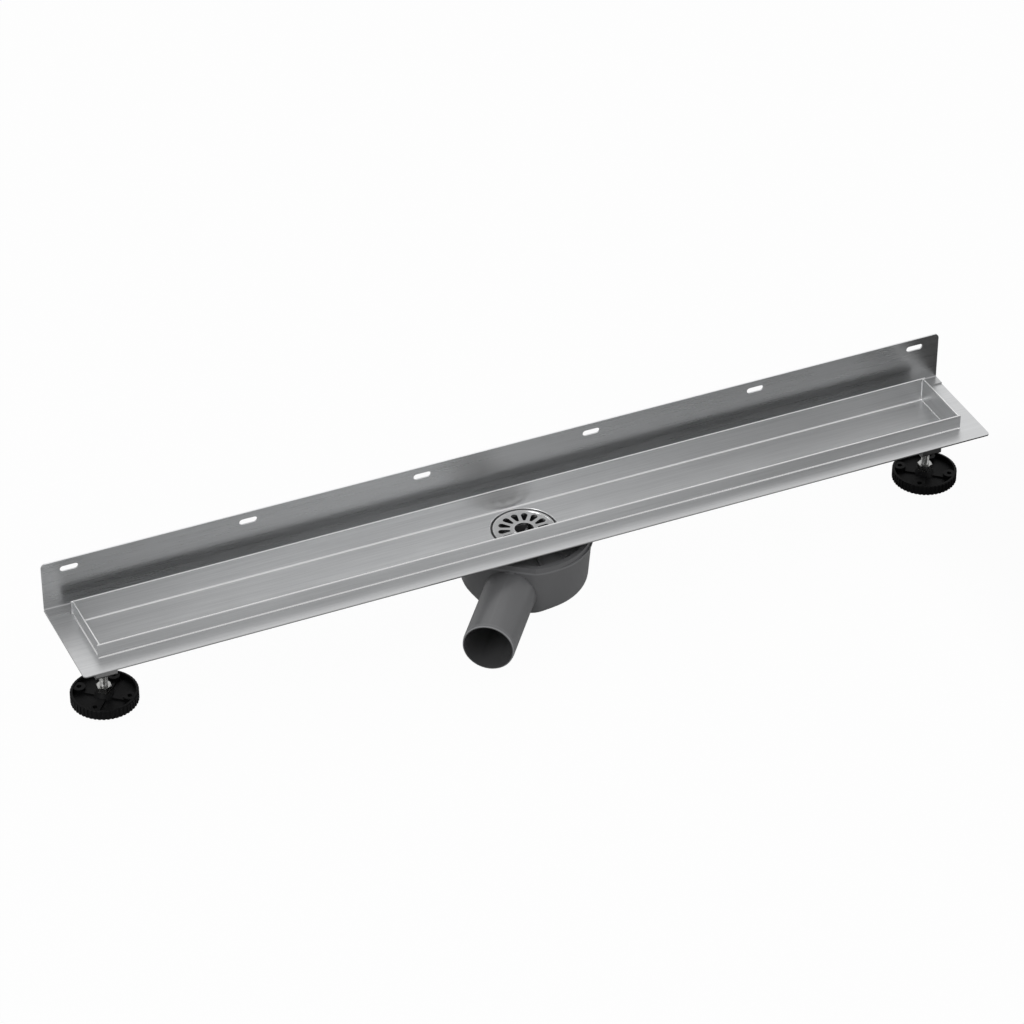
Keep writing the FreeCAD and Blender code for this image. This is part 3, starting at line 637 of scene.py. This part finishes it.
def carve(base, tool, operation):
    change = base.modifiers.new(operation, "BOOLEAN")
    change.operation, change.solver, change.object = operation, "EXACT", tool
    mesh = bpy.data.meshes.new_from_object(base.evaluated_get(bpy.context.evaluated_depsgraph_get()))
    base.modifiers.clear()
    base.data = mesh
    bpy.data.objects.remove(tool)


pipeProfile = [
    (pipe["start"], pipe["shoulderRadius"]),
    (pipe["shoulder"], pipe["shoulderRadius"]),
    (pipe["shoulder"] + pipe["shoulderStep"], pipe["radius"]),
    (pipe["mouth"] - pipe["bevelFrom"], pipe["radius"]),
    (pipe["mouth"] - pipe["bevelTo"], pipe["bevelRadius"]),
    (pipe["mouth"], pipe["mouthRadius"]),
]
boreProfile = [(pipe["boreStart"], pipe["bore"]), (pipe["boreEnd"], pipe["bore"])]
outside = bowlForm("siphon_outside", 0.0)
carve(outside, pipeForm("siphon_pipe", pipeProfile), "UNION")
carve(outside, bowlForm("siphon_inside", bowl["wall"]), "DIFFERENCE")
carve(outside, pipeForm("siphon_bore", boreProfile), "DIFFERENCE")
siphonMesh = outside.data
siphonMesh.name = "siphon_moulding"
bpy.data.objects.remove(outside)
faceOut(siphonMesh)
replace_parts(newPiece("siphon_moulding", siphonMesh, siphonPlastic, "siphon"), "siphon_body")
print("siphon done,", len(siphonMesh.polygons), "faces")


# Threaded studs of the feet

threadLook = {
    "pitch": 0.00125,
    "depth": 0.00066,
    "flank": 3.2,              # how steep the flanks are
    "around": 28,              # corners round the stud
    "perTurn": 6,              # rings to one pitch
    "bevel": 0.0010,
}


def threadedStud(name, node, body, look):
    low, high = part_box(node)
    centre, major = (low + high) / 2, (high.x - low.x) / 2
    rings = int((high.z - low.z) / look["pitch"] * look["perTurn"])
    rows = []
    for ring in range(rings + 1):
        z = low.z + (high.z - low.z) * ring / rings
        fromEnd = min(z - low.z, high.z - z)
        row = []
        for step in range(look["around"]):
            phase = (z / look["pitch"] - step / look["around"]) % 1
            root = min(abs(phase - 0.5) * look["flank"], 1)       # 0 on the crest, 1 in the root
            radius = major - max(look["depth"] * root, look["bevel"] - fromEnd)
            angle = 2 * math.pi * step / look["around"]
            row.append((centre.x + radius * math.cos(angle), centre.y + radius * math.sin(angle), z))
        rows.append(row)
    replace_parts(newPiece(name, skin(name, rows), zinc, body), node)


for side in ("left", "right"):
    threadedStud("threaded_stud_" + side, "foot_stud_" + side, side + "_stud", threadLook)
print("studs done")


# Weld beads where the trough comes up through the flange, ground seams inside its ends

beadLook = {
    "leg": 0.0011,             # bead along the walls
    "seamLeg": 0.0008,         # bead inside the channel's ends
    "seamShort": 0.0012,       # a seam ends this far from a corner
    "seamBelow": 0.0003,       # and this far under the rim
    "ripple": 0.00003,
    "ripplePitch": 0.0034,
    "wander": 611,             # a second, uneven ripple
    "wanderShare": 0.5,
    "hollow": 0.22,
    "taper": 0.004,            # length over which a bead thins out to its ends
    "taperTo": 0.35,
    "step": 0.0011,
    "parts": 6,
    "sink": 0.00006,           # root of the bead inside the sheet
}
cornerLook = {**sheetLook, "colour": (0.60, 0.605, 0.61), "rough": 0.42}


def weldBead(name, start, stop, outA, outB, leg, finish):
    # a fillet between two faces, outA and outB, with the ripples of a hand-held torch
    look = beadLook
    start, stop, outA, outB = Vector(start), Vector(stop), Vector(outA), Vector(outB)
    length = (stop - start).length
    steps = max(int(length / look["step"]), 6)
    rows = []
    for i in range(steps + 1):
        run = length * i / steps
        swell = (math.sin(2 * math.pi * run / look["ripplePitch"])
                 + look["wanderShare"] * math.sin(run * look["wander"] + 1.3))
        taper = min(1.0, look["taperTo"] + min(run, length - run) / look["taper"])
        reach = (leg + look["ripple"] * swell * 0.5) * taper
        root = start.lerp(stop, i / steps) - (outA + outB) * look["sink"]
        row = [root]
        for k in range(look["parts"] + 1):
            angle = math.pi / 2 * k / look["parts"]
            bulge = reach * (1 - look["hollow"] * math.sin(2 * angle))
            row.append(root + outA * bulge * math.cos(angle) + outB * bulge * math.sin(angle))
        rows.append(row)
    newPiece(name, skin(name, rows), finish, "tray")


weldSteel = platedSteel("weld_steel", weldLook)
cornerSteel = brushedSteel("ground_corner", cornerLook, acrossChannel)
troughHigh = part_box("channel_trough")[1]
leftLow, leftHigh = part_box("end_wall_left")
rightLow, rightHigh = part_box("end_wall_right")
flangeTop, floorTop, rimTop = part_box("sealing_flange")[1].z, leftLow.z, troughHigh.z
tip, halfWide, inner = troughHigh.x, troughHigh.y, leftHigh.y
up = (0, 0, 1)

for place, y, out in (("front", -halfWide, -1), ("back", halfWide, 1)):
    weldBead("weld_" + place, (-tip, y, flangeTop), (tip, y, flangeTop), (0, out, 0), up,
             beadLook["leg"], weldSteel)
for side, x, out in (("left", leftLow.x, -1), ("right", rightHigh.x, 1)):
    weldBead("weld_end_" + side, (x, -inner, flangeTop), (x, inner, flangeTop), (out, 0, 0), up,
             beadLook["leg"], weldSteel)
for side, x, into in (("left", leftHigh.x, 1), ("right", rightLow.x, -1)):
    short = beadLook["seamShort"]
    weldBead("seam_floor_" + side, (x, short - inner, floorTop), (x, inner - short, floorTop),
             (into, 0, 0), up, beadLook["seamLeg"], weldSteel)
    for place, y, inward in (("front", -inner, 1), ("back", inner, -1)):
        weldBead("seam_corner_%s_%s" % (side, place), (x, y, floorTop + short),
                 (x, y, rimTop - beadLook["seamBelow"]), (into, 0, 0), (0, inward, 0),
                 beadLook["seamLeg"], cornerSteel)
print("welds done")


# Deburred, slightly rounded top edges of the sheets, in brighter steel that is a painted highlight

edgeLook = {
    "crown": 0.00080,          # height of the rounding
    "parts": 6,
    "inset": 0.00004,
    "sink": 0.00003,
    "step": 0.012,
}
# the rounding is real, the brighter steel on it a painted highlight
edgeHighlightLook = {**sheetLook, "colour": (0.95, 0.95, 0.95), "rough": 0.20, "streakTone": 0.10,
                "longTone": 0.05}
edgeSteel = brushedSteel("edge_highlight", edgeHighlightLook, evenGrain)


def roundedEdge(name, start, stop, across, width):
    # a low half-round along the top of a sheet
    look = edgeLook
    start, stop, across = Vector(start), Vector(stop), Vector(across) * (width / 2 - look["inset"])
    steps = max(int((stop - start).length / look["step"]), 4)
    rows = []
    for i in range(steps + 1):
        along, base = start.lerp(stop, i / steps), Vector((0, 0, look["sink"]))
        row = []
        for k in range(look["parts"] + 1):
            angle = math.pi * k / look["parts"]
            row.append(along + across * math.cos(angle) + Vector((0, 0, look["crown"] * math.sin(angle))))
        rows.append(row + [along - across - base, along + across - base])
    newPiece(name, skin(name, rows), edgeSteel, "tray")


sheetThick = halfWide - inner
rimLine = halfWide - sheetThick / 2
for place, y in (("front", -rimLine), ("back", rimLine)):
    roundedEdge("rim_edge_" + place, (-tip, y, rimTop), (tip, y, rimTop), (0, 1, 0), sheetThick)
for side, x in (("left", (leftLow.x + leftHigh.x) / 2), ("right", (rightLow.x + rightHigh.x) / 2)):
    roundedEdge("rim_edge_" + side, (x, -inner, rimTop), (x, inner, rimTop), (1, 0, 0), sheetThick)
print("edges done")


# Floor, light and camera

floorLook = {
    "colour": (0.58, 0.58, 0.58),
    "level": -0.0904,          # clear of the feet when they are screwed right out
    "half": 9.0,
    "whiten": 0.97,            # how much of the shadow the camera's white washes out
    "mottleScale": 0.6,
    "mottle": 0.01,
    "cardTone": 0.86,          # dark card in front of the right end, seen only in the steel
    "cardLeft": (0.34, 0.45),
    "cardRight": (1.1, 0.9),
    "cardBack": (0.1, 0.0),
    "cardFront": (-0.7, -0.5),
}
skyLook = {
    "level": 0.66,
}
white = (1, 1, 1)


def floor(look):
    mesh = bpy.data.meshes.new("studio_floor")
    h, z = look["half"], look["level"]
    mesh.from_pydata([(-h, -h, z), (h, -h, z), (h, h, z), (-h, h, z)], [], [(0, 1, 2, 3)])
    sheet = bpy.data.objects.new("studio_floor", mesh)
    bpy.context.scene.collection.objects.link(sheet)
    paint = Paint("studio_floor")
    cloud = paint.noise(paint.place(), look["mottleScale"], 2.0)
    x, y, z = paint.axes()
    card = (paint.band(x, *look["cardLeft"]) * paint.band(x, *look["cardRight"])
            * paint.band(y, *look["cardBack"]) * paint.band(y, *look["cardFront"]))
    tone = (1 + cloud * look["mottle"]) * (1 - card * look["cardTone"])
    paint.set(Base_Color=paint.tint(look["colour"], tone), Roughness=0.9, Specular_IOR_Level=0.0)
    glow = paint.node("Emission", {}, {"Color": white, "Strength": 1.0})
    paint.cover(glow, paint.cameraRay() * look["whiten"])
    mesh.materials.append(paint.home)


def sky(look):
    # white for the camera, softer for the light
    world = bpy.data.worlds.new("studio")
    bpy.context.scene.world = world
    paint = Paint("studio", world)
    paint.set(Color=white, Strength=look["level"])
    paint.cover(paint.node("Background", {}, {"Color": white, "Strength": 1.0}), paint.cameraRay())


lamps = {
    "key_light": {"place": (-2.0, -1.0, 1.9), "target": (0, 0, 0), "size": 1.6, "watts": 24},
    "back_light": {"place": (0.9, 1.9, 1.9), "target": (0, 0, 0), "size": 3.0, "watts": 9},
    "side_light": {"place": (2.1, -1.3, 0.5), "target": (0, 0, -0.04), "size": 1.1, "watts": 5},
}


def softBox(name, look):
    light = bpy.data.lights.new(name, "AREA")
    light.shape, light.size, light.energy = "DISK", look["size"], look["watts"]
    lamp = bpy.data.objects.new(name, light)
    lamp.location = look["place"]
    aim = Vector(look["target"]) - Vector(look["place"])
    lamp.rotation_euler = aim.to_track_quat("-Z", "Y").to_euler()
    bpy.context.scene.collection.objects.link(lamp)


floor(floorLook)
sky(skyLook)
for name, look in lamps.items():
    softBox(name, look)

cameraLook = {
    "place": (-1.34716, -2.94299, 2.34453),
    "tilt": 90 - 35.838,
    "roll": 0.0,
    "turn": -24.305,
    "lens": 147.3,
    "film": 36,
    "near": 0.1,
    "far": 60,
}
lens = bpy.data.cameras.new("camera")
lens.sensor_fit, lens.sensor_width, lens.lens = "HORIZONTAL", cameraLook["film"], cameraLook["lens"]
lens.clip_start, lens.clip_end = cameraLook["near"], cameraLook["far"]
camera = bpy.data.objects.new("camera", lens)
camera.location = cameraLook["place"]
camera.rotation_euler = Euler([math.radians(cameraLook[k]) for k in ("tilt", "roll", "turn")])
bpy.context.scene.collection.objects.link(camera)
bpy.context.scene.camera = camera
bpy.context.scene.view_settings.view_transform = "Standard"
print("studio done")
